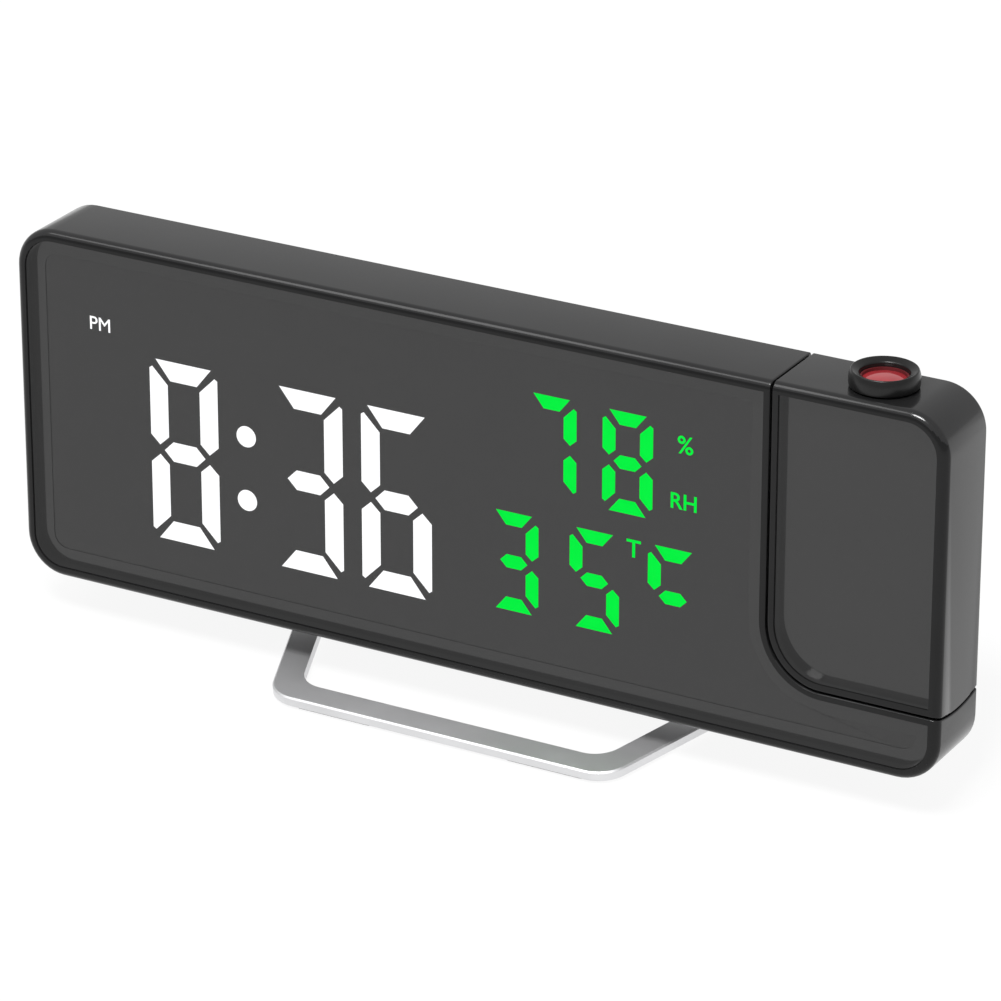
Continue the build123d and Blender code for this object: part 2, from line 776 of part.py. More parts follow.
with BuildPart() as rear_cover:
    add(cover_blank)
    with BuildSketch(face_plane(cover_front)):
        with Locations((housing_x, housing_v)):
            RectangleRounded(housing_width, housing_height, housing_corner)
    extrude(amount=-(rear_depth - cover_front))
    fillet(rear_cover.faces().sort_by(forward)[0].edges(), housing_round)
    with BuildSketch(face_plane(cover_front)):
        with Locations((housing_x, housing_v)):
            RectangleRounded(housing_width - 2 * housing_wall, housing_height - 2 * housing_wall,
                             housing_corner - housing_wall)
    extrude(amount=-(housing_inside - cover_front), mode=Mode.SUBTRACT)
    # pockets for the stand's tabs, open below
    with BuildSketch(face_plane(rear_depth - housing_round)):
        with Locations((-tab_x, pocket_block_v), (tab_x, pocket_block_v)):
            RectangleRounded(2 * pocket_outer_half, pocket_top + pocket_wall - pocket_bottom,
                             pocket_corner)
    extrude(amount=-(pocket_back + pocket_wall - rear_depth + housing_round))
    pocket_backs = rear_cover.faces().filter_by(forward).sort_by(forward)[:2]
    fillet(pocket_backs.edges(), pocket_corner / 2)
    with BuildSketch(face_plane(rear_depth)):
        with Locations((-tab_x, pocket_slot_v), (tab_x, pocket_slot_v)):
            Rectangle(2 * pocket_half, pocket_top - pocket_bottom + cut_margin)
    extrude(amount=-(pocket_back - rear_depth), mode=Mode.SUBTRACT)
    # stand screws pass the pocket's back and bite into a pad inside the housing
    with BuildSketch(face_plane(housing_inside)):
        with Locations(*tab_screw_places):
            Circle(boss_radius)
    extrude(amount=stand_boss_height)
    with BuildSketch(face_plane(housing_inside - stand_boss_height)):
        with Locations(*tab_screw_places):
            Circle(screw_radius + screw_clearance)
    extrude(amount=-cut_margin - housing_wall, mode=Mode.SUBTRACT)
    # bosses for the main board
    with BuildSketch(face_plane(housing_inside)):
        with Locations(*board_boss_places):
            Circle(board_boss_radius)
    extrude(amount=housing_inside - main_board_back)
    with BuildSketch(face_plane(main_board_back)):
        with Locations(*board_boss_places):
            Circle(screw_radius + screw_clearance)
    extrude(amount=-(board_screw_length - main_board_thickness + fit_gap), mode=Mode.SUBTRACT)
    # case screw holes with sunk heads
    with BuildSketch(face_plane(cover_front)):
        with Locations(*boss_places):
            Circle(screw_radius + screw_clearance)
    extrude(amount=-cover_plate, mode=Mode.SUBTRACT)
    with BuildSketch(face_plane(screw_seat)):
        with Locations(*boss_places):
            Circle(head_radius + head_clearance)
    extrude(amount=-cover_plate, mode=Mode.SUBTRACT)
    # button holes
    with BuildSketch(face_plane(housing_inside)):
        with Locations(*[(x, button_v) for x in button_places.values()]):
            SlotOverall(button_width + 2 * button_gap, button_height + 2 * button_gap)
    extrude(amount=-housing_wall, mode=Mode.SUBTRACT)
    # sound slots
    with BuildSketch(face_plane(housing_inside)):
        with Locations((speaker_x, speaker_v)):
            with GridLocations(0, grille_pitch, 1, grille_count):
                SlotOverall(grille_length, grille_slot)
    extrude(amount=-housing_wall, mode=Mode.SUBTRACT)
    # vents behind the sensor
    with BuildSketch(face_plane(housing_inside)):
        with Locations((sensor_x, sensor_v)):
            with GridLocations(vent_pitch, 0, vent_count, 1):
                SlotOverall(vent_length, vent_slot, rotation=90)
    extrude(amount=-housing_wall, mode=Mode.SUBTRACT)
    # cell opening and the step its door sits on
    with BuildSketch(face_plane(housing_inside)):
        with Locations((cell_x, cell_v)):
            Circle(cell_radius + cell_gap)
    extrude(amount=-housing_wall, mode=Mode.SUBTRACT)
    with BuildSketch(face_plane(rear_depth - door_thickness)):
        with Locations((cell_x, cell_v)):
            RectangleRounded(door_size, door_size, door_corner)
    extrude(amount=-door_thickness, mode=Mode.SUBTRACT)
    # socket openings
    with BuildSketch(face_plane(housing_inside)):
        with Locations((usb_x, port_v)):
            Rectangle(usb_width + 2 * port_gap, usb_height + 2 * port_gap)
        with Locations((dc_x, port_v)):
            Rectangle(dc_size + 2 * port_gap, dc_size + 2 * port_gap)
    extrude(amount=-housing_wall, mode=Mode.SUBTRACT)
save(rear_cover, "rear_cover")

case_screws = screws(boss_places, screw_seat, case_screw_length, face_plane)
save(case_screws, "case_screws")

stand_screw_seat = pocket_back + pocket_wall
stand_screws = screws(tab_screw_places, stand_screw_seat,
                      stand_screw_seat - housing_inside + stand_screw_grip, face_plane)
save(stand_screws, "stand_screws")

# ================================================================ boards, sound, cell
with BuildPart() as main_board:
    with BuildSketch(face_plane(main_board_front)):
        with Locations(((main_left + main_right) / 2, (main_bottom + main_top) / 2)):
            Rectangle(main_right - main_left, main_top - main_bottom)
        with Locations(*board_boss_places):
            Circle(screw_radius + screw_clearance, mode=Mode.SUBTRACT)
    extrude(amount=-main_board_thickness)
save(main_board, "main_board")

with BuildPart() as board_chips:
    with BuildSketch(face_plane(main_board_front)):
        for share, rise, width, height in chip_shares:
            with Locations((main_left + share * (main_right - main_left),
                            main_bottom + rise * (main_top - main_bottom))):
                Rectangle(width * chip_size, height * chip_size)
    extrude(amount=chip_height)
save(board_chips, "board_chips")

with BuildPart() as climate_sensor:
    with BuildSketch(face_plane(main_board_back)):
        with Locations((sensor_x, sensor_v)):
            Rectangle(sensor_size, sensor_size)
    extrude(amount=-sensor_height)
    with BuildSketch(face_plane(main_board_back + sensor_height)):
        with Locations((sensor_x, sensor_v)):
            Circle(sensor_port_radius)
    extrude(amount=sensor_port_depth, mode=Mode.SUBTRACT)
save(climate_sensor, "climate_sensor")

with BuildPart() as board_screws:
    with BuildSketch(face_plane(main_board_front)):
        with Locations(*board_boss_places):
            Circle(head_radius)
    extrude(amount=head_height)
    with BuildSketch(face_plane(main_board_front)):
        with Locations(*board_boss_places):
            Circle(screw_radius)
    extrude(amount=-board_screw_length)
save(board_screws, "board_screws")

switch_base = housing_inside - button_gap - button_flange - button_travel - button_gap
with BuildPart() as button_switches:
    with BuildSketch(face_plane(main_board_back)):
        with Locations(*[(x, button_v) for x in button_places.values()]):
            Rectangle(switch_size, switch_size)
    extrude(amount=-(switch_base - plunger_height - main_board_back))
    with BuildSketch(face_plane(main_board_back)):
        with Locations(*[(x, button_v) for x in button_places.values()]):
            Circle(plunger_radius)
    extrude(amount=-(switch_base - main_board_back))
save(button_switches, "button_switches")

for name, x in button_places.items():
    with BuildPart() as button:
        with BuildSketch(face_plane(rear_depth + button_rise, x, button_v)):
            SlotOverall(button_width, button_height)
        extrude(amount=button_rise + housing_wall + button_gap)
        fillet(button.faces().sort_by(forward)[0].edges(), button_edge_round)
        with BuildSketch(face_plane(housing_inside - button_gap, x, button_v)):
            SlotOverall(button_width + 2 * button_flange_width,
                        button_height + 2 * button_flange_width)
        extrude(amount=button_flange)
    save(button, f"{name}_button")

with BuildPart() as speaker:
    with BuildSketch(face_plane(housing_inside)):
        with Locations((speaker_x, speaker_v)):
            Circle(speaker_radius)
    extrude(amount=speaker_rim)
    with BuildSketch(face_plane(housing_inside)):
        with Locations((speaker_x, speaker_v)):
            Circle(speaker_magnet_radius)
    extrude(amount=speaker_height)
save(speaker, "speaker")

cell_back = housing_inside + housing_wall - door_thickness - door_gap
with BuildPart() as coin_cell:
    with BuildSketch(face_plane(cell_back)):
        with Locations((cell_x, cell_v)):
            Circle(cell_radius)
    extrude(amount=cell_height)
    fillet(coin_cell.faces().sort_by(forward)[-1].edges(), cell_edge_round)
save(coin_cell, "coin_cell")

tray_floor = cell_back - cell_height - cell_gap
with BuildPart() as cell_tray:
    with BuildSketch(face_plane(housing_inside)):
        with Locations((cell_x, cell_v)):
            Circle(tray_radius)
    extrude(amount=housing_inside - tray_floor + tray_wall)
    with BuildSketch(face_plane(housing_inside)):
        with Locations((cell_x, cell_v)):
            Circle(cell_radius + cell_gap)
    extrude(amount=housing_inside - tray_floor, mode=Mode.SUBTRACT)
save(cell_tray, "cell_tray")

with BuildPart() as cell_contact:
    with BuildSketch(face_plane(tray_floor)):
        with Locations((cell_x, cell_v)):
            Rectangle(cell_radius, contact_width)
    extrude(amount=-(cell_gap - contact_gap))
save(cell_contact, "cell_contact")

with BuildPart() as cell_door:
    with BuildSketch(face_plane(rear_depth)):
        with Locations((cell_x, cell_v)):
            RectangleRounded(door_size - 2 * door_gap, door_size - 2 * door_gap,
                             door_corner - door_gap)
    extrude(amount=door_thickness - door_gap)
    with BuildSketch(face_plane(rear_depth)):
        with Locations((cell_x, cell_v - door_size / 2 + grip_inset)):
            with GridLocations(0, grip_pitch, 1, grip_count):
                Rectangle(grip_length, grip_width)
    extrude(amount=grip_depth, mode=Mode.SUBTRACT)
save(cell_door, "cell_door")

# ================================================================ sockets
port_mouth = rear_depth - port_setback
with BuildPart() as usb_socket:
    with BuildSketch(face_plane(port_mouth)):
        with Locations((usb_x, port_v)):
            Rectangle(usb_width, usb_height)
    extrude(amount=port_mouth - main_board_back)
    with BuildSketch(face_plane(port_mouth)):
        with Locations((usb_x, port_v)):
            Rectangle(usb_width - 2 * usb_shell, usb_height - 2 * usb_shell)
    extrude(amount=port_mouth - main_board_back - usb_floor, mode=Mode.SUBTRACT)
    with BuildSketch(face_plane(port_mouth - usb_tongue_setback)):
        with Locations((usb_x, port_v + usb_tongue_lift)):
            Rectangle(usb_width - 2 * usb_shell - 2 * usb_tongue_side, usb_tongue)
    extrude(amount=port_mouth - usb_tongue_setback - main_board_back)
save(usb_socket, "usb_socket")

with BuildPart() as dc_socket:
    with BuildSketch(face_plane(port_mouth)):
        with Locations((dc_x, port_v)):
            Rectangle(dc_size, dc_size)
    extrude(amount=port_mouth - main_board_back)
    with BuildSketch(face_plane(port_mouth)):
        with Locations((dc_x, port_v)):
            Circle(dc_bore)
    extrude(amount=port_mouth - main_board_back - dc_floor, mode=Mode.SUBTRACT)
    with BuildSketch(face_plane(port_mouth - dc_pin_setback)):
        with Locations((dc_x, port_v)):
            Circle(dc_pin)
    extrude(amount=port_mouth - dc_pin_setback - main_board_back)
save(dc_socket, "dc_socket")

# ================================================================ projector shell
shell_pocket = projector_room(case_wall, -cut_margin, window_back, seam_wall)
shell_shelf_hole = projector_room(case_wall + shelf_width, 0, case_depth, seam_wall + shelf_width)
shell_hollow = projector_room(case_wall, shelf_back, case_depth + cut_margin, notch_wall)
projector_boss_places = [(half_width - wall_boss, pivot_v + projector_boss_rise),
                         (projector_inner_left + boss_radius - boss_sink,
                          pivot_v - swivel_radius + projector_boss_lift)]
neck_hole = neck_radius + running_clearance
neck_bottom = half_height + ring_gap - neck_length

with BuildPart() as projector_shell:
    add(blank.part)
    add(projector_space, mode=Mode.INTERSECT)
    fillet(seam_edges(projector_shell), seam_round)
    add(shell_pocket, mode=Mode.SUBTRACT)
    add(shell_shelf_hole, mode=Mode.SUBTRACT)
    add(shell_hollow, mode=Mode.SUBTRACT)
    with BuildSketch(face_plane(shelf_back)):
        with Locations(*projector_boss_places):
            Circle(boss_radius)
    extrude(amount=-(cover_front - shelf_back))
    with BuildSketch(face_plane(screw_seat - projector_screw_length - fit_gap)):
        with Locations(*projector_boss_places):
            Circle(screw_radius + screw_clearance)
    extrude(amount=-case_depth, mode=Mode.SUBTRACT)
    with BuildSketch(pivot_plane(projector_left)):
        Circle(sleeve_radius + running_clearance)
    extrude(amount=notch_wall, mode=Mode.SUBTRACT)
    with BuildSketch(level_plane(half_height, lens_x, pivot_depth)):
        Circle(neck_hole)
    extrude(amount=-(half_height - neck_bottom + fit_gap), mode=Mode.SUBTRACT)
save(projector_shell, "projector_shell")

projector_window_blank = projector_room(window_inset, window_recess, window_back,
                                        seam_wall + fit_gap)
with BuildPart() as projector_window:
    add(projector_window_blank)
save(projector_window, "projector_window")

projector_cover_blank = projector_room(case_wall + fit_gap, cover_front, case_depth,
                                       notch_wall + fit_gap)
with BuildPart() as projector_cover:
    add(projector_cover_blank)
    with BuildSketch(face_plane(cover_front)):
        with Locations(*projector_boss_places):
            Circle(screw_radius + screw_clearance)
    extrude(amount=-cover_plate, mode=Mode.SUBTRACT)
    with BuildSketch(face_plane(screw_seat)):
        with Locations(*projector_boss_places):
            Circle(head_radius + head_clearance)
    extrude(amount=-cover_plate, mode=Mode.SUBTRACT)
save(projector_cover, "projector_cover")

projector_screws = screws(projector_boss_places, screw_seat, projector_screw_length, face_plane)
save(projector_screws, "projector_screws")

# ================================================================ swivel pieces
sleeve_right = projector_inner_left + sleeve_flange
washer_right = seam_x - half_gap - notch_wall - running_clearance
clip_right = washer_right - washer_thickness
sleeve_left = clip_right - clip_thickness - clip_land
with BuildPart() as swivel_sleeve:
    with BuildSketch(pivot_plane(sleeve_left)):
        Circle(sleeve_radius)
    extrude(amount=sleeve_right - sleeve_left)
    with BuildSketch(pivot_plane(projector_inner_left)):
        Circle(sleeve_flange_radius)
    extrude(amount=sleeve_flange)
    with BuildSketch(pivot_plane(sleeve_left)):
        Circle(sleeve_bore)
    extrude(amount=sleeve_right - sleeve_left, mode=Mode.SUBTRACT)
    with BuildSketch(pivot_plane(clip_right)):
        Circle(sleeve_radius)
        Circle(sleeve_radius - clip_groove, mode=Mode.SUBTRACT)
    extrude(amount=-clip_thickness, mode=Mode.SUBTRACT)
save(swivel_sleeve, "swivel_sleeve")

with BuildPart() as friction_washer:
    with BuildSketch(pivot_plane(clip_right)):
        Circle(clip_radius)
        Circle(sleeve_radius + running_clearance, mode=Mode.SUBTRACT)
    extrude(amount=washer_thickness)
save(friction_washer, "friction_washer")

with BuildPart() as retaining_clip:
    with BuildSketch(pivot_plane(clip_right)):
        Circle(clip_radius)
        Circle(sleeve_radius - clip_groove + running_clearance, mode=Mode.SUBTRACT)
        with Locations((clip_radius, 0)):
            Rectangle(2 * clip_radius, clip_slot, mode=Mode.SUBTRACT)
    extrude(amount=-(clip_thickness - running_clearance))
save(retaining_clip, "retaining_clip")

# ================================================================ focus ring and lens
ring_bottom = half_height + ring_gap
ring_top = ring_bottom + ring_height
ring_plane = face_plane(pivot_depth, lens_x)
with BuildPart() as focus_ring:
    with BuildSketch(ring_plane) as ring_profile:
        with BuildLine():
            Polyline((neck_bore, neck_bottom), (neck_radius, neck_bottom),
                     (neck_radius, ring_bottom), (ring_radius, ring_bottom),
                     (ring_radius, ring_top), (ring_lip_radius, ring_top),
                     (neck_bore, ring_top - ring_flare), close=True)
        make_face()
        outer_top = ring_profile.vertices().sort_by(Axis.Y)[-2:].sort_by(Axis.X)[-1]
        fillet(outer_top, ring_edge_round)
    revolve(axis=lens_axis)
save(focus_ring, "focus_ring")

lens_seat = carrier_top - lens_sink - lens_thickness
with BuildPart() as lens_carrier:
    with BuildSketch(level_plane(carrier_bottom, lens_x, pivot_depth)):
        Circle(carrier_radius)
        Circle(lens_radius - lens_ledge, mode=Mode.SUBTRACT)
    extrude(amount=carrier_top - carrier_bottom)
    with BuildSketch(level_plane(lens_seat, lens_x, pivot_depth)):
        Circle(lens_radius + lens_play)
    extrude(amount=carrier_top - lens_seat, mode=Mode.SUBTRACT)
save(lens_carrier, "lens_carrier")

# the crown ends in a small flat on the lens's axis
lens_edge_v = lens_seat + lens_thickness
with BuildPart() as lens:
    with BuildSketch(ring_plane):
        with BuildLine():
            Polyline((lens_radius, lens_edge_v), (lens_radius, lens_seat), (0, lens_seat),
                     (0, lens_edge_v + lens_crown), (lens_flat, lens_edge_v + lens_crown))
            TangentArc((lens_flat, lens_edge_v + lens_crown), (lens_radius, lens_edge_v),
                       tangent=(1, 0))
        make_face()
    revolve(axis=lens_axis)
save(lens, "lens")

# ================================================================ projector optics
optic_front = shelf_back + fit_gap
optic_back = cover_front - fit_gap
with BuildPart() as optic_block:
    with BuildSketch(level_plane(optic_bottom, lens_x, (optic_front + optic_back) / 2)):
        Rectangle(optic_width, optic_back - optic_front)
    extrude(amount=optic_top - optic_bottom)
    with BuildSketch(level_plane(optic_bottom, lens_x, pivot_depth)):
        Circle(optic_bore)
    extrude(amount=optic_top - optic_bottom, mode=Mode.SUBTRACT)
save(optic_block, "optic_block")

with BuildPart() as projector_lcd:
    with BuildSketch(level_plane(optic_bottom + lcd_rise, lens_x, pivot_depth)):
        Circle(optic_bore - lens_play)
    extrude(amount=lcd_thickness)
save(projector_lcd, "projector_lcd")

board_left = projector_inner_left + projector_board_left_inset
board_right = half_width - case_wall - projector_board_right_inset
with BuildPart() as projector_board:
    with BuildSketch(level_plane(optic_bottom, (board_left + board_right) / 2, pivot_depth)):
        Rectangle(board_right - board_left, 2 * (pivot_depth - optic_front) - fit_gap)
    extrude(amount=-projector_board_thickness)
save(projector_board, "projector_board")

with BuildPart() as projector_lamp:
    with BuildSketch(level_plane(optic_bottom, lens_x, pivot_depth)):
        Circle(lamp_radius)
    extrude(amount=lamp_height)
    fillet(projector_lamp.faces().sort_by(upward)[-1].edges(), lamp_dome)
save(projector_lamp, "projector_lamp")

print("front edge", round(front_edge_y, 4), round(front_edge_z, 4))
print("pivot", [round(c, 4) for c in spot(0, pivot_v, pivot_depth)])
print("lens axis", [round(c, 4) for c in spot(lens_x, half_height, pivot_depth)])
print("tab x", round(tab_x, 3), "heel", round(heel_y, 3), "pad", round(rear_pad_y, 3))
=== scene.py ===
import bpy
import json
from math import cos, radians, sin
from mathutils import Matrix, Vector


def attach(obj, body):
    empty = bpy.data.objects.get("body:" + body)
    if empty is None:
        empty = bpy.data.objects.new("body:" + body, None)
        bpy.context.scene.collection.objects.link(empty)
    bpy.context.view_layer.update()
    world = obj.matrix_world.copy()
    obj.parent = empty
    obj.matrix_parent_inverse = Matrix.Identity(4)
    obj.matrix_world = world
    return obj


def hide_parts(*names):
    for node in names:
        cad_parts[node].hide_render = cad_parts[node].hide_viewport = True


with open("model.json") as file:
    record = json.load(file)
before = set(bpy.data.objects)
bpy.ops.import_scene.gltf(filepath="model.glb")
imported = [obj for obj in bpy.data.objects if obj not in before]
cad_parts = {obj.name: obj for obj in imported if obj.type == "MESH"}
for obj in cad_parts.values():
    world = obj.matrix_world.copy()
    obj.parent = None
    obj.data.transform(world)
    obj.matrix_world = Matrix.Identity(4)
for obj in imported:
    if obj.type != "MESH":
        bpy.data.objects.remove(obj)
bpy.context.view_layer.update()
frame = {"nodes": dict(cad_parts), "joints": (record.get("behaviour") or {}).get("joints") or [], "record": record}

print("frame loaded:", len(frame["nodes"]), "nodes")

# the case leans back on its stand, and what is added is placed along the case's own directions
caseFrame = {
    "height": 0.0699,
    "depth": 0.0162,
    "lean": radians(7.0),
    "pivotDrop": 0.028,       # swivel axis below the top, half way back
}
backWay = Vector((0, cos(caseFrame["lean"]), -sin(caseFrame["lean"])))
upWay = Vector((0, sin(caseFrame["lean"]), cos(caseFrame["lean"])))
rightWay = Vector((1, 0, 0))


def findFrontEdge():
    # bottom of the front rim, worked back from the swivel joint
    joint = next(j for j in frame["joints"] if j["name"] == "projector_swivel")
    pivot = Vector((0, joint["pos_m"][1], joint["pos_m"][2]))
    pivotHeight = caseFrame["height"] - caseFrame["pivotDrop"]
    return pivot - upWay * pivotHeight - backWay * caseFrame["depth"] / 2


frontEdge = findFrontEdge()


def spot(across, rise, back):
    # across from the middle, rise from mid-height, back from the front rim
    return frontEdge + rightWay * across + upWay * (rise + caseFrame["height"] / 2) + backWay * back


def onlySelect(obj):
    bpy.ops.object.select_all(action="DESELECT")
    obj.select_set(True)
    bpy.context.view_layer.objects.active = obj


cameraSet = {
    "lens": 199.49,
    "sensor": 36.0,
    "clip": (0.01, 50.0),
    "azimuth": radians(29.292),
    "elevation": radians(23.697),
    "roll": radians(0.02),
    "distance": 0.99119,
    "aimAcross": 0.00797,
    "aimRise": 0.001361,
}


def makeCamera(setUp):
    # its angles and aim are in the case's directions
    az, el, roll = setUp["azimuth"], setUp["elevation"], setUp["roll"]

    def turned(x, y, z):
        return rightWay * x + backWay * y + upWay * z

    away = turned(sin(az) * cos(el), -cos(az) * cos(el), sin(el))
    side = turned(cos(az), sin(az), 0)
    top = away.cross(side)
    camX = side * cos(roll) + top * sin(roll)
    camY = top * cos(roll) - side * sin(roll)
    aim = spot(setUp["aimAcross"], setUp["aimRise"], 0)
    data = bpy.data.cameras.new("camera")
    data.lens = setUp["lens"]
    data.sensor_width = setUp["sensor"]
    data.clip_start, data.clip_end = setUp["clip"]
    camera = bpy.data.objects.new("camera", data)
    bpy.context.scene.collection.objects.link(camera)
    turn = Matrix((camX, camY, away)).transposed().to_4x4()
    camera.matrix_world = Matrix.Translation(aim + away * setUp["distance"]) @ turn
    bpy.context.scene.camera = camera


makeCamera(cameraSet)
print("camera placed")


def setInputs(node, **values):
    # sockets by name, with underscores for spaces
    for name, value in values.items():
        node.inputs[name.replace("_", " ")].default_value = value
    return node


def groupSocket(tree, name, kind, way, value=None):
    socket = tree.interface.new_socket(name=name, in_out=way, socket_type=kind)
    if value is not None:
        socket.default_value = value


def addNoise(tree, vector, **values):
    noise = setInputs(tree.nodes.new("ShaderNodeTexNoise"), **values)
    tree.links.new(vector, noise.inputs["Vector"])
    return noise


def makeGrainGroup():
    # fine moulded grain: a roughness that drifts and a height for bump
    tree = bpy.data.node_groups.new("mouldedGrain", "ShaderNodeTree")
    groupSocket(tree, "Scale", "NodeSocketFloat", "INPUT", 900.0)
    groupSocket(tree, "Rough Low", "NodeSocketFloat", "INPUT", 0.3)
    groupSocket(tree, "Rough High", "NodeSocketFloat", "INPUT", 0.5)
    groupSocket(tree, "Roughness", "NodeSocketFloat", "OUTPUT")
    groupSocket(tree, "Height", "NodeSocketFloat", "OUTPUT")
    nodes, links = tree.nodes, tree.links
    given, out = nodes.new("NodeGroupInput"), nodes.new("NodeGroupOutput")
    place = nodes.new("ShaderNodeTexCoord").outputs["Object"]
    fine = addNoise(tree, place, Detail=3.0)
    broad = addNoise(tree, place, Scale=45.0, Detail=4.0)
    spread = setInputs(nodes.new("ShaderNodeMapRange"), From_Min=0.3, From_Max=0.7)
    links.new(given.outputs["Scale"], fine.inputs["Scale"])
    links.new(broad.outputs["Fac"], spread.inputs["Value"])
    links.new(given.outputs["Rough Low"], spread.inputs["To Min"])
    links.new(given.outputs["Rough High"], spread.inputs["To Max"])
    links.new(spread.outputs["Result"], out.inputs["Roughness"])
    links.new(fine.outputs["Fac"], out.inputs["Height"])
    return tree


def makeScuffGroup():
    # faint hairline scuffs and smudges on gloss: roughness and a mask
    tree = bpy.data.node_groups.new("hairScuffs", "ShaderNodeTree")
    groupSocket(tree, "Stretch", "NodeSocketVector", "INPUT", (1.0, 1.0, 1.0))
    groupSocket(tree, "Base Rough", "NodeSocketFloat", "INPUT", 0.05)
    groupSocket(tree, "Scuff Rough", "NodeSocketFloat", "INPUT", 0.16)
    groupSocket(tree, "Roughness", "NodeSocketFloat", "OUTPUT")
    groupSocket(tree, "Mask", "NodeSocketFloat", "OUTPUT")
    nodes, links = tree.nodes, tree.links
    given, out = nodes.new("NodeGroupInput"), nodes.new("NodeGroupOutput")
    place = nodes.new("ShaderNodeTexCoord").outputs["Object"]
    scale = nodes.new("ShaderNodeVectorMath")
    scale.operation = "MULTIPLY"
    hair = addNoise(tree, scale.outputs["Vector"], Scale=260.0, Detail=6.0, Roughness=0.7)
    smudge = addNoise(tree, place, Scale=28.0, Detail=3.0)
    sharp = setInputs(nodes.new("ShaderNodeMapRange"), From_Min=0.55, From_Max=0.75)
    both = nodes.new("ShaderNodeMath")
    both.operation = "MULTIPLY"
    blend = nodes.new("ShaderNodeMapRange")
    links.new(place, scale.inputs[0])
    links.new(given.outputs["Stretch"], scale.inputs[1])
    links.new(hair.outputs["Fac"], sharp.inputs["Value"])
    links.new(sharp.outputs["Result"], both.inputs[0])
    links.new(smudge.outputs["Fac"], both.inputs[1])
    links.new(both.outputs["Value"], blend.inputs["Value"])
    links.new(given.outputs["Base Rough"], blend.inputs["To Min"])
    links.new(given.outputs["Scuff Rough"], blend.inputs["To Max"])
    links.new(blend.outputs["Result"], out.inputs["Roughness"])
    links.new(both.outputs["Value"], out.inputs["Mask"])
    return tree


def makeShadeGroup():
    # a colour that drifts a little over the surface
    tree = bpy.data.node_groups.new("colourDrift", "ShaderNodeTree")
    groupSocket(tree, "Scale", "NodeSocketFloat", "INPUT", 60.0)
    groupSocket(tree, "Dark", "NodeSocketColor", "INPUT", (0.02, 0.02, 0.02, 1))
    groupSocket(tree, "Light", "NodeSocketColor", "INPUT", (0.03, 0.03, 0.03, 1))
    groupSocket(tree, "Color", "NodeSocketColor", "OUTPUT")
    nodes, links = tree.nodes, tree.links
    given, out = nodes.new("NodeGroupInput"), nodes.new("NodeGroupOutput")
    cloud = addNoise(tree, nodes.new("ShaderNodeTexCoord").outputs["Object"], Detail=5.0)
    spread = setInputs(nodes.new("ShaderNodeMapRange"), From_Min=0.3, From_Max=0.7)
    mix = nodes.new("ShaderNodeMix")
    mix.data_type = "RGBA"
    links.new(given.outputs["Scale"], cloud.inputs["Scale"])
    links.new(cloud.outputs["Fac"], spread.inputs["Value"])
    links.new(spread.outputs["Result"], mix.inputs["Factor"])
    links.new(given.outputs["Dark"], mix.inputs["A"])
    links.new(given.outputs["Light"], mix.inputs["B"])
    links.new(mix.outputs["Result"], out.inputs["Color"])
    return tree


mouldedGrain = makeGrainGroup()
hairScuffs = makeScuffGroup()
colourDrift = makeShadeGroup()
print("shader groups made")


def newMaterial(name):
    material = bpy.data.materials.new(name)
    material.use_nodes = True
    return material, material.node_tree, material.node_tree.nodes["Principled BSDF"]


def addGroup(tree, group, **values):
    node = tree.nodes.new("ShaderNodeGroup")
    node.node_tree = group
    return setInputs(node, **values)


patternSet = {
    # how fine each kind of surface drifts in colour
    "glossDrift": 40.0,
    "grainDrift": 70.0,
    "paintedGlowDrift": 30.0,
    "litDrift": 220.0,
    "lensDrift": 500.0,
    # orange peel on polished mouldings, grain on the rest
    "peelScale": 160.0,
    "peelBump": 0.02,
    "peelDepth": 0.00002,
    "grainDepth": 0.00005,
}


def addBump(tree, shader, height, strength, distance):
    bump = setInputs(tree.nodes.new("ShaderNodeBump"), Strength=strength, Distance=distance)
    tree.links.new(height, bump.inputs["Height"])
    tree.links.new(bump.outputs["Normal"], shader.inputs["Normal"])


def driftColour(tree, shader, dark, light, scale, socket="Base Color"):
    drift = addGroup(tree, colourDrift, Scale=scale, Dark=(*dark, 1), Light=(*light, 1))
    tree.links.new(drift.outputs["Color"], shader.inputs[socket])
    return drift


def addScuffs(tree, shader, stretch, rough, scuffed):
    scuffs = addGroup(tree, hairScuffs, Stretch=stretch, Base_Rough=rough, Scuff_Rough=scuffed)
    tree.links.new(scuffs.outputs["Roughness"], shader.inputs["Roughness"])
    return scuffs


def glossMaterial(name, dark, light, rough, scuffed, stretch, ior=1.5, metallic=0.0):
    # polished moulding: colour drift, hairline scuffs and a trace of orange peel
    material, tree, shader = newMaterial(name)
    driftColour(tree, shader, dark, light, patternSet["glossDrift"])
    addScuffs(tree, shader, stretch, rough, scuffed)
    setInputs(shader, IOR=ior, Metallic=metallic)
    peel = addGroup(tree, mouldedGrain, Scale=patternSet["peelScale"],
                    Rough_Low=rough, Rough_High=scuffed)
    addBump(tree, shader, peel.outputs["Height"], patternSet["peelBump"], patternSet["peelDepth"])
    return material


def grainMaterial(name, dark, light, roughLow, roughHigh, scale, bump, metallic=0.0):
    # plain moulded, rubber or rolled surface with a fine grain
    material, tree, shader = newMaterial(name)
    driftColour(tree, shader, dark, light, patternSet["grainDrift"])
    grain = addGroup(tree, mouldedGrain, Scale=scale, Rough_Low=roughLow, Rough_High=roughHigh)
    tree.links.new(grain.outputs["Roughness"], shader.inputs["Roughness"])
    setInputs(shader, Metallic=metallic)
    addBump(tree, shader, grain.outputs["Height"], bump, patternSet["grainDepth"])
    return material


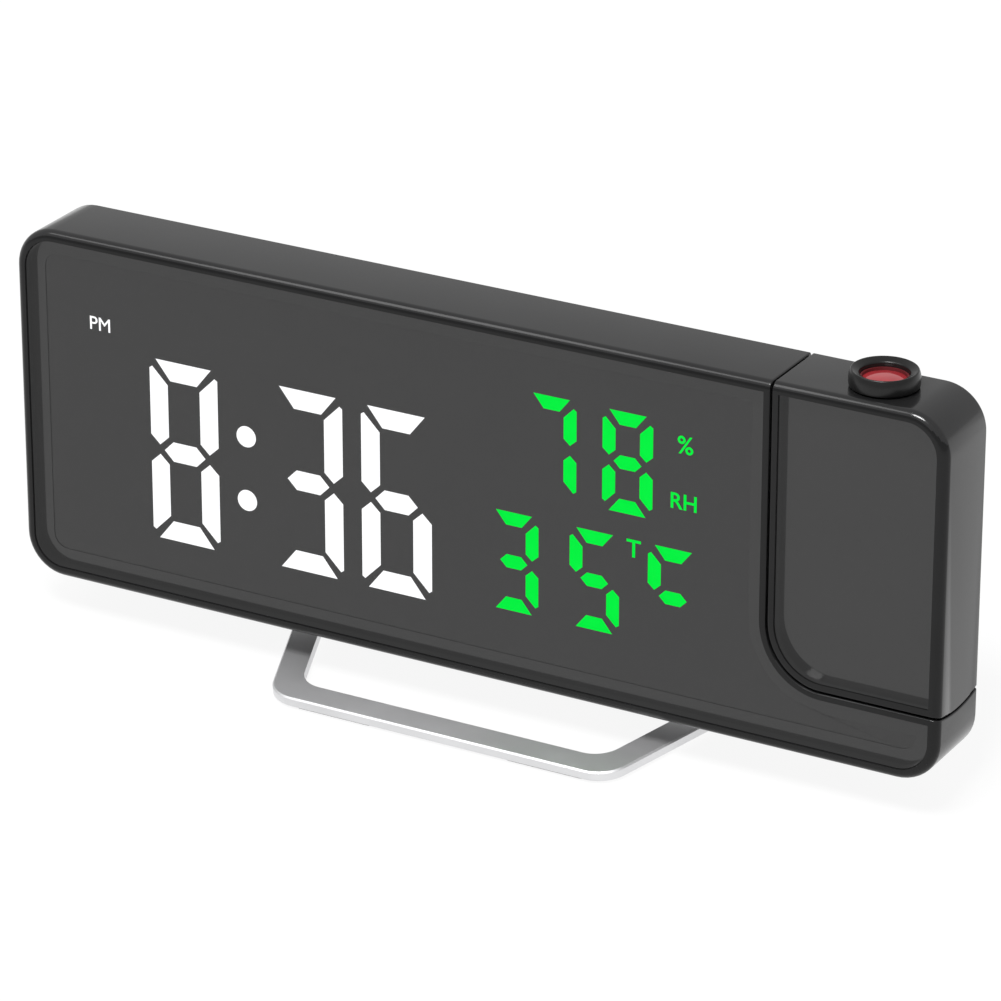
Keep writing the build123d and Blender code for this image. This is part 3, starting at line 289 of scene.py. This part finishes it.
def litMaterial(name, colour, strength, edgeColour):
    # a diffuser lit from behind, a little brighter in places
    material, tree, shader = newMaterial(name)
    driftColour(tree, shader, edgeColour, colour, patternSet["litDrift"], "Emission Color")
    setInputs(shader, Base_Color=(0.002, 0.002, 0.002, 1), Specular_IOR_Level=0.0,
              Emission_Strength=strength)
    grain = addGroup(tree, mouldedGrain, Scale=1500.0, Rough_Low=0.5, Rough_High=0.65)
    tree.links.new(grain.outputs["Roughness"], shader.inputs["Roughness"])
    return material


glassSet = {
    "rough": 0.10,
    "scuffed": 0.16,
    "stretch": (0.25, 1.0, 1.0),
    "ior": 1.45,
    "smoke": (0.09, 0.12),    # share of the light the glass takes, where clean and where smudged
    "print": ((0.0040, 0.0040, 0.0040), (0.0050, 0.0050, 0.0050)),
    # painted glow: an even dark grey given as emission, so that no shade falls on the black behind the glass
    "paintedGlow": ((0.0330, 0.0330, 0.0331), (0.0340, 0.0340, 0.0341)),
    "border": 0.003,          # printed on the back of the glass, from its edge
    "lift": 0.00003,          # keeps the print off the shelf the glass lies on
    "square": 0.9,            # how straight back a face looks to count as the glass's back
}


def smokedGlass(name):
    # smoked glass only takes light away: its gloss is in the black layers right behind it
    material, tree, shader = newMaterial(name)
    setInputs(shader, Base_Color=(0, 0, 0, 1), Specular_IOR_Level=0.0)
    scuffs = addScuffs(tree, shader, glassSet["stretch"], glassSet["rough"], glassSet["scuffed"])
    clean, smudged = glassSet["smoke"]
    smoke = setInputs(tree.nodes.new("ShaderNodeMapRange"), To_Min=clean, To_Max=smudged)
    tree.links.new(scuffs.outputs["Mask"], smoke.inputs["Value"])
    # the smoke counts once: the slab's far face lets everything through
    facing = tree.nodes.new("ShaderNodeNewGeometry")
    share = setInputs(tree.nodes.new("ShaderNodeMapRange"), To_Max=0.0)
    tree.links.new(facing.outputs["Backfacing"], share.inputs["Value"])
    tree.links.new(smoke.outputs["Result"], share.inputs["To Min"])
    tree.links.new(share.outputs["Result"], shader.inputs["Alpha"])
    return material


def paintedGlowBlack(name):
    # glossy black behind the glass, with a painted glow that lifts it to an even dark grey in place of its shading
    material = glossMaterial(name, *glassSet["print"], glassSet["rough"], glassSet["scuffed"],
                             glassSet["stretch"], glassSet["ior"])
    tree = material.node_tree
    shader = tree.nodes["Principled BSDF"]
    # painted glow on the black, standing in for its light and shade
    driftColour(tree, shader, *glassSet["paintedGlow"], patternSet["paintedGlowDrift"], "Emission Color")
    setInputs(shader, Emission_Strength=1.0)
    return material


# gloss: darkest and lightest colour, roughness clean and scuffed, stretch of the scuffs, ior
# grain: darkest and lightest colour, least and most roughness, grain scale and height, metallic
# lit: brightest colour, strength, least bright colour
finishes = {
    "gloss_black": glossMaterial("glossBlack", (0.010, 0.010, 0.0103), (0.014, 0.014, 0.0144),
                                 0.16, 0.26, (0.2, 1.0, 1.0), 1.46),
    "satin_black": grainMaterial("satinBlack", (0.018, 0.018, 0.019), (0.026, 0.026, 0.027),
                                 0.42, 0.55, 1400.0, 0.5),
    "smoked_mirror": smokedGlass("smokedGlass"),
    "matt_black": paintedGlowBlack("mattBlackPaintedGlow"),
    "lit_white": litMaterial("litWhite", (1.0, 1.0, 1.0), 1.25, (0.97, 0.98, 1.0)),
    "lit_green": litMaterial("litGreen", (0.001, 0.92, 0.058), 1.08, (0.0005, 0.88, 0.052)),
    "smoked_diffuser": paintedGlowBlack("smokedDiffuserPaintedGlow"),
    "white_plastic": grainMaterial("whitePlastic", (0.72, 0.72, 0.70), (0.80, 0.80, 0.78),
                                   0.45, 0.6, 900.0, 0.3),
    "circuit_board": grainMaterial("circuitBoard", (0.008, 0.10, 0.04), (0.015, 0.16, 0.07),
                                   0.35, 0.5, 700.0, 0.3),
    "led_resin": grainMaterial("ledResin", (0.75, 0.70, 0.45), (0.85, 0.82, 0.6),
                               0.15, 0.25, 500.0, 0.1),
    "screw_steel": grainMaterial("screwSteel", (0.32, 0.32, 0.33), (0.45, 0.45, 0.46),
                                 0.28, 0.42, 1600.0, 0.4, 1.0),
    "soft_rubber": grainMaterial("softRubber", (0.03, 0.03, 0.03), (0.05, 0.05, 0.05),
                                 0.75, 0.9, 1200.0, 0.6),
    "chip_resin": grainMaterial("chipResin", (0.012, 0.012, 0.012), (0.02, 0.02, 0.02),
                                0.5, 0.65, 1200.0, 0.4),
    "speaker_metal": grainMaterial("speakerMetal", (0.25, 0.25, 0.26), (0.35, 0.35, 0.36),
                                   0.35, 0.5, 700.0, 0.3, 1.0),
    "cell_steel": grainMaterial("cellSteel", (0.5, 0.5, 0.49), (0.62, 0.62, 0.6),
                                0.25, 0.38, 1000.0, 0.3, 1.0),
    "socket_metal": grainMaterial("socketMetal", (0.45, 0.45, 0.46), (0.6, 0.6, 0.61),
                                  0.25, 0.35, 1000.0, 0.3, 1.0),
    "ring_black": glossMaterial("ringBlack", (0.005, 0.005, 0.005), (0.008, 0.008, 0.008),
                                0.28, 0.38, (1.0, 1.0, 1.0), 1.38),
    "button_black": grainMaterial("buttonBlack", (0.025, 0.025, 0.026), (0.035, 0.035, 0.036),
                                  0.4, 0.52, 1500.0, 0.4),
    "polished_metal": glossMaterial("polishedMetal", (0.74, 0.74, 0.75), (0.80, 0.80, 0.81),
                                    0.52, 0.60, (0.3, 1.0, 1.0), metallic=1.0),
}
# the print on the glass's back and sides carries the same painted glow
backPrintPaintedGlow = paintedGlowBlack("backPrintPaintedGlow")
# the narrow face round the glass is a darker, duller black than the polished sides; on its round at the sides and
# below this darker black is painted shade, while the round along the top stays polished
rimDullAndShade = glossMaterial("rimDullAndShade", (0.003, 0.003, 0.0031), (0.005, 0.005, 0.0052),
                         0.20, 0.30, (0.2, 1.0, 1.0), 1.34)

lensSet = {
    "dark": (0.17, 0.012, 0.016),
    "light": (0.20, 0.015, 0.019),
    "rough": 0.04,
    "scuffed": 0.1,
    "glow": 0.8,              # share of its colour that the lamp behind it adds
    "ior": 1.55,
    "coat": 0.4,
}


def redLensMaterial():
    # a clear red dome over the projection optics
    material, tree, shader = newMaterial("redLens")
    drift = driftColour(tree, shader, lensSet["dark"], lensSet["light"], patternSet["lensDrift"])
    tree.links.new(drift.outputs["Color"], shader.inputs["Emission Color"])
    addScuffs(tree, shader, (1.0, 1.0, 1.0), lensSet["rough"], lensSet["scuffed"])
    setInputs(shader, Emission_Strength=lensSet["glow"], IOR=lensSet["ior"],
              Coat_Weight=lensSet["coat"])
    return material


finishes["red_lens"] = redLensMaterial()
# painted red light: the black tube round the lens is coloured dark red, as the lens's red light falls on it
lensRedLightTube = grainMaterial("lensRedLightTube", (0.085, 0.006, 0.008), (0.11, 0.008, 0.011),
                        0.4, 0.55, 1400.0, 0.3)
print("materials made for", len(finishes), "slots")

slotOf = {row["node"]: row["material_slot"] for row in frame["record"]["subparts"]}


def dress(obj, material):
    obj.data.materials.clear()
    obj.data.materials.append(material)


for nodeName, nodeObject in frame["nodes"].items():
    dress(nodeObject, finishes[slotOf[nodeName]])
print("CAD nodes dressed")

bodies = frame["record"]["behaviour"]["bodies"]
bodyOf = {node: body for body, members in bodies.items() for node in members}
smoothSet = {
    "merge": 0.000004,
    "angle": radians(24.0),   # sharper edges than this stay crisp
    "nodes": ["front_case", "projector_shell", "rear_cover", "projector_cover", "lens_carrier",
              "lens", "stand", "display_window", "projector_window", "set_button", "up_button",
              "down_button", "alarm_button", "snooze_button", "cell_door"],
}


def smoothShell(nodeName, material, angle):
    # the node's own solid with its seams welded and its rounds shaded smooth
    source = frame["nodes"][nodeName]
    shell = source.copy()
    shell.data = source.data.copy()
    shell.parent = None
    for key in list(shell.keys()):
        del shell[key]
    shell.matrix_world = Matrix.Identity(4)
    shell.name = nodeName + "Shell"
    bpy.context.scene.collection.objects.link(shell)
    onlySelect(shell)
    bpy.ops.object.mode_set(mode="EDIT")
    bpy.ops.mesh.select_all(action="SELECT")
    bpy.ops.mesh.remove_doubles(threshold=smoothSet["merge"])
    bpy.ops.mesh.customdata_custom_splitnormals_clear()
    bpy.ops.object.mode_set(mode="OBJECT")
    bpy.ops.object.shade_smooth_by_angle(angle=angle)
    dress(shell, material)
    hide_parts(nodeName)
    return shell


shells = {}
for nodeName in smoothSet["nodes"]:
    shells[nodeName] = smoothShell(nodeName, finishes[slotOf[nodeName]], smoothSet["angle"])
print("smooth shells made:", len(shells))


def selectFaces(shell, wanted):
    # left in edit mode with the wanted faces selected
    bpy.ops.object.mode_set(mode="EDIT")
    bpy.ops.mesh.select_mode(type="FACE")
    bpy.ops.mesh.select_all(action="DESELECT")
    bpy.ops.object.mode_set(mode="OBJECT")
    for face in shell.data.polygons:
        face.select = wanted(face)
    bpy.ops.object.mode_set(mode="EDIT")


def printBack(shell, border):
    # dark print, carrying the painted glow, on the glass's sides and back, with the display's opening left clear
    # in it
    shell.data.materials.append(backPrintPaintedGlow)
    shell.active_material_index = 1
    onlySelect(shell)
    selectFaces(shell, lambda face: face.normal.dot(backWay) > -glassSet["square"])
    bpy.ops.object.material_slot_assign()
    selectFaces(shell, lambda face: face.normal.dot(backWay) > glassSet["square"])
    bpy.ops.transform.translate(value=-backWay * glassSet["lift"])
    if border > 0.0:
        bpy.ops.mesh.inset(thickness=border, depth=0.0)
        shell.active_material_index = 0
        bpy.ops.object.material_slot_assign()
    bpy.ops.mesh.select_mode(type="VERT")
    bpy.ops.object.mode_set(mode="OBJECT")


rimSet = {
    "ahead": 0.93,            # how straight forward a face looks to belong to the rim's face
    "turned": 0.12,           # the same on its round, at the sides and below, where the darker black is painted shade
    "upward": 0.35,           # above this the round stays polished
    "deepest": 0.0014,        # back from the front
}


def dullRimAndPaintShade(shell):
    # the face round the glass, and its round except along the top, where the darker black on the round is painted
    # shade
    def onRim(face):
        least = rimSet["ahead"] if face.normal.dot(upWay) > rimSet["upward"] else rimSet["turned"]
        depth = (face.center - frontEdge).dot(backWay)
        return -face.normal.dot(backWay) > least and depth < rimSet["deepest"]

    shell.data.materials.append(rimDullAndShade)
    shell.active_material_index = 1
    onlySelect(shell)
    selectFaces(shell, onRim)
    bpy.ops.object.material_slot_assign()
    bpy.ops.mesh.select_mode(type="VERT")
    bpy.ops.object.mode_set(mode="OBJECT")


standSet = {
    "flat": radians(1.0),     # triangles this close to one plane become one face
    "sharp": radians(40.0),
    "round": 0.0004,
    "steps": 3,
}


def softenEdges(shell, setUp):
    # flat faces merged, then every sharp edge rounded a little
    onlySelect(shell)
    bpy.ops.object.mode_set(mode="EDIT")
    bpy.ops.mesh.select_all(action="SELECT")
    bpy.ops.mesh.dissolve_limited(angle_limit=setUp["flat"])
    bpy.ops.mesh.select_all(action="DESELECT")
    bpy.ops.mesh.select_mode(type="EDGE")
    bpy.ops.mesh.edges_select_sharp(sharpness=setUp["sharp"])
    bpy.ops.mesh.bevel(offset=setUp["round"], segments=setUp["steps"],
                       profile=0.5, clamp_overlap=True)
    bpy.ops.mesh.select_mode(type="VERT")
    bpy.ops.object.mode_set(mode="OBJECT")
    bpy.ops.object.shade_smooth_by_angle(angle=smoothSet["angle"])


printBack(shells["display_window"], glassSet["border"])
printBack(shells["projector_window"], 0.0)
dullRimAndPaintShade(shells["front_case"])
dullRimAndPaintShade(shells["projector_shell"])
dress(shells["lens_carrier"], lensRedLightTube)
softenEdges(shells["stand"], standSet)
print("glass printed, stand softened")

ringSet = {
    "across": 0.079,
    "back": caseFrame["depth"] / 2,
    "steps": 96,
    # radius, rise above the case's top, how far the corner is rounded
    "corners": [
        (0.0044, -0.0049, 0.0), (0.0049, -0.0049, 0.0), (0.0049, 0.0003, 0.0),
        (0.0062, 0.0003, 0.0003), (0.0063, 0.0010, 0.0005), (0.0063, 0.0024, 0.0007),
        (0.0059, 0.0034, 0.0003), (0.0044, 0.0027, 0.0003),
    ],
    "arcSteps": 6,
    "merge": 0.000002,
    "angle": radians(30.0),
}


def roundedCorners(corners, arcSteps):
    # each corner swapped for a short curve that starts and ends on its two sides
    line = []
    for i, (x, z, reach) in enumerate(corners):
        here = Vector((x, z))
        if reach == 0.0:
            line.append(here)
            continue
        before, after = Vector(corners[i - 1][:2]), Vector(corners[(i + 1) % len(corners)][:2])
        start = here + (before - here).normalized() * reach
        end = here + (after - here).normalized() * reach
        for step in range(arcSteps + 1):
            t = step / arcSteps
            line.append(start * (1 - t) ** 2 + here * 2 * t * (1 - t) + end * t ** 2)
    return line


def makeRing(setUp):
    # the profile turned once round the lens's axis
    foot = spot(setUp["across"], caseFrame["height"] / 2, setUp["back"])
    line = roundedCorners(setUp["corners"], setUp["arcSteps"])
    points = [foot + rightWay * corner.x + upWay * corner.y for corner in line]
    edges = [(i, (i + 1) % len(points)) for i in range(len(points))]
    mesh = bpy.data.meshes.new("focusRing")
    mesh.from_pydata(points, edges, [])
    ring = bpy.data.objects.new("focusRing", mesh)
    bpy.context.scene.collection.objects.link(ring)
    onlySelect(ring)
    bpy.ops.object.mode_set(mode="EDIT")
    bpy.ops.mesh.select_all(action="SELECT")
    bpy.ops.mesh.spin(steps=setUp["steps"], angle=radians(360), center=foot, axis=upWay)
    bpy.ops.mesh.select_all(action="SELECT")
    bpy.ops.mesh.remove_doubles(threshold=setUp["merge"])
    bpy.ops.mesh.normals_make_consistent(inside=False)
    bpy.ops.object.mode_set(mode="OBJECT")
    bpy.ops.object.shade_smooth_by_angle(angle=setUp["angle"])
    dress(ring, finishes["ring_black"])
    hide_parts("focus_ring")
    return ring


shells["focus_ring"] = makeRing(ringSet)
print("focus ring made")

markSet = {
    "lift": 0.00002,      # in front of the mark's window
    "thickness": 0.00006,
    "marks": [
        # text, across, rise, height, boldness in the text's own units, colour slot, name
        ("PM", -0.07813, 0.01757, 0.0026, 0.0, "lit_white", "pmMark"),
        ("%", 0.04382, 0.01872, 0.0034, 0.01, "lit_green", "percentMark"),
        ("RH", 0.04363, 0.00782, 0.0030, 0.01, "lit_green", "humidityMark"),
        ("T", 0.0338, -0.00327, 0.0034, 0.01, "lit_green", "temperatureMark"),
    ],
    "plane": 0.00225,     # front of the display mask, back from the front rim
}


def makeMark(text, across, rise, height, boldness, slotName, name):
    # a thin solid letter shape, scaled to its height and laid just in front of the mask
    bpy.ops.object.select_all(action="DESELECT")
    bpy.ops.object.text_add(location=(0, 0, 0))
    mark = bpy.context.object
    mark.name = name
    mark.data.body = text
    mark.data.align_x = "CENTER"
    mark.data.align_y = "CENTER"
    mark.data.extrude = 0.5   # any depth, scaled below
    mark.data.offset = boldness
    bpy.ops.object.convert(target="MESH")
    mark = bpy.context.object
    corners = [v.co.copy() for v in mark.data.vertices]
    low = Vector([min(c[i] for c in corners) for i in range(3)])
    high = Vector([max(c[i] for c in corners) for i in range(3)])
    middle = (low + high) / 2
    scale = height / (high.y - low.y)
    thickness = markSet["thickness"] / (high.z - low.z)
    place = spot(across, rise, markSet["plane"] - markSet["lift"] - markSet["thickness"] / 2)
    turn = Matrix((rightWay, upWay, -backWay)).transposed().to_4x4()
    size = Matrix.Diagonal((scale, scale, thickness, 1))
    mark.data.transform(Matrix.Translation(place) @ turn @ size @ Matrix.Translation(-middle))
    dress(mark, finishes[slotName])
    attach(mark, "case")


for row in markSet["marks"]:
    makeMark(*row)
print("display marks made")

for nodeName, shell in shells.items():
    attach(shell, bodyOf[nodeName])

studioSet = {
    "floorSize": 6.0,
    "floorColour": (0.93, 0.93, 0.93, 1),
    "floorRough": 0.9,
    "floorGlow": 0.9,         # share of plain white seen by the camera, the rest keeps the shadow
    "world": 0.6,
}


def anyRay(nodes, links, *kinds):
    # 1 for rays of one of these kinds, else 0
    rays = nodes.new("ShaderNodeLightPath")
    found = rays.outputs[kinds[0]]
    for kind in kinds[1:]:
        either = nodes.new("ShaderNodeMath")
        either.operation = "MAXIMUM"
        links.new(found, either.inputs[0])
        links.new(rays.outputs[kind], either.inputs[1])
        found = either.outputs["Value"]
    return found


def makeFloor():
    # pale floor: mostly plain white where it is seen, the rest takes the light and the shadow
    bpy.ops.object.select_all(action="DESELECT")
    bpy.ops.mesh.primitive_plane_add(size=studioSet["floorSize"], location=(0, 0, 0))
    floor = bpy.context.object
    floor.name = "floor"
    material, tree, shader = newMaterial("paleFloor")
    nodes, links = tree.nodes, tree.links
    setInputs(shader, Base_Color=studioSet["floorColour"], Roughness=studioSet["floorRough"],
              Specular_IOR_Level=0.0)
    glow = setInputs(nodes.new("ShaderNodeEmission"), Strength=1.0)
    share = nodes.new("ShaderNodeMath")
    share.operation = "MULTIPLY"
    share.inputs[1].default_value = studioSet["floorGlow"]
    mix = nodes.new("ShaderNodeMixShader")
    seen = anyRay(nodes, links, "Is Camera Ray", "Is Glossy Ray", "Is Transmission Ray")
    links.new(seen, share.inputs[0])
    links.new(share.outputs["Value"], mix.inputs["Fac"])
    links.new(shader.outputs["BSDF"], mix.inputs[1])
    links.new(glow.outputs["Emission"], mix.inputs[2])
    links.new(mix.outputs["Shader"], nodes["Material Output"].inputs["Surface"])
    dress(floor, material)


def makeWorld():
    # soft light from all round, plain white where it is seen
    world = bpy.data.worlds.new("studio")
    bpy.context.scene.world = world
    world.use_nodes = True
    nodes, links = world.node_tree.nodes, world.node_tree.links
    shade = setInputs(nodes["Background"], Color=(1, 1, 1, 1))
    level = setInputs(nodes.new("ShaderNodeMapRange"), To_Min=studioSet["world"], To_Max=1.0)
    links.new(anyRay(nodes, links, "Is Camera Ray", "Is Transmission Ray"), level.inputs["Value"])
    links.new(level.outputs["Result"], shade.inputs["Strength"])


def makeLamp(name, place, aim, size, power):
    data = bpy.data.lights.new(name, "AREA")
    data.shape = "RECTANGLE"
    data.size, data.size_y = size
    data.energy = power
    lamp = bpy.data.objects.new(name, data)
    bpy.context.scene.collection.objects.link(lamp)
    away = (Vector(place) - Vector(aim)).normalized()
    turn = away.to_track_quat("Z", "Y").to_matrix().to_4x4()
    lamp.matrix_world = Matrix.Translation(place) @ turn


lampSet = [
    # name, place, aim, size, power
    ("keyLamp", (0.08, -0.46, 1.075), (0.09, 0, 0.08), (0.44, 0.26), 12.0),
    ("fillLamp", (-0.61, -0.42, 1.18), (0, 0, 0.04), (0.5, 0.5), 2.6),
]
makeFloor()
makeWorld()
for row in lampSet:
    makeLamp(*row)

bpy.context.scene.view_settings.view_transform = "Standard"
print("floor and light placed")
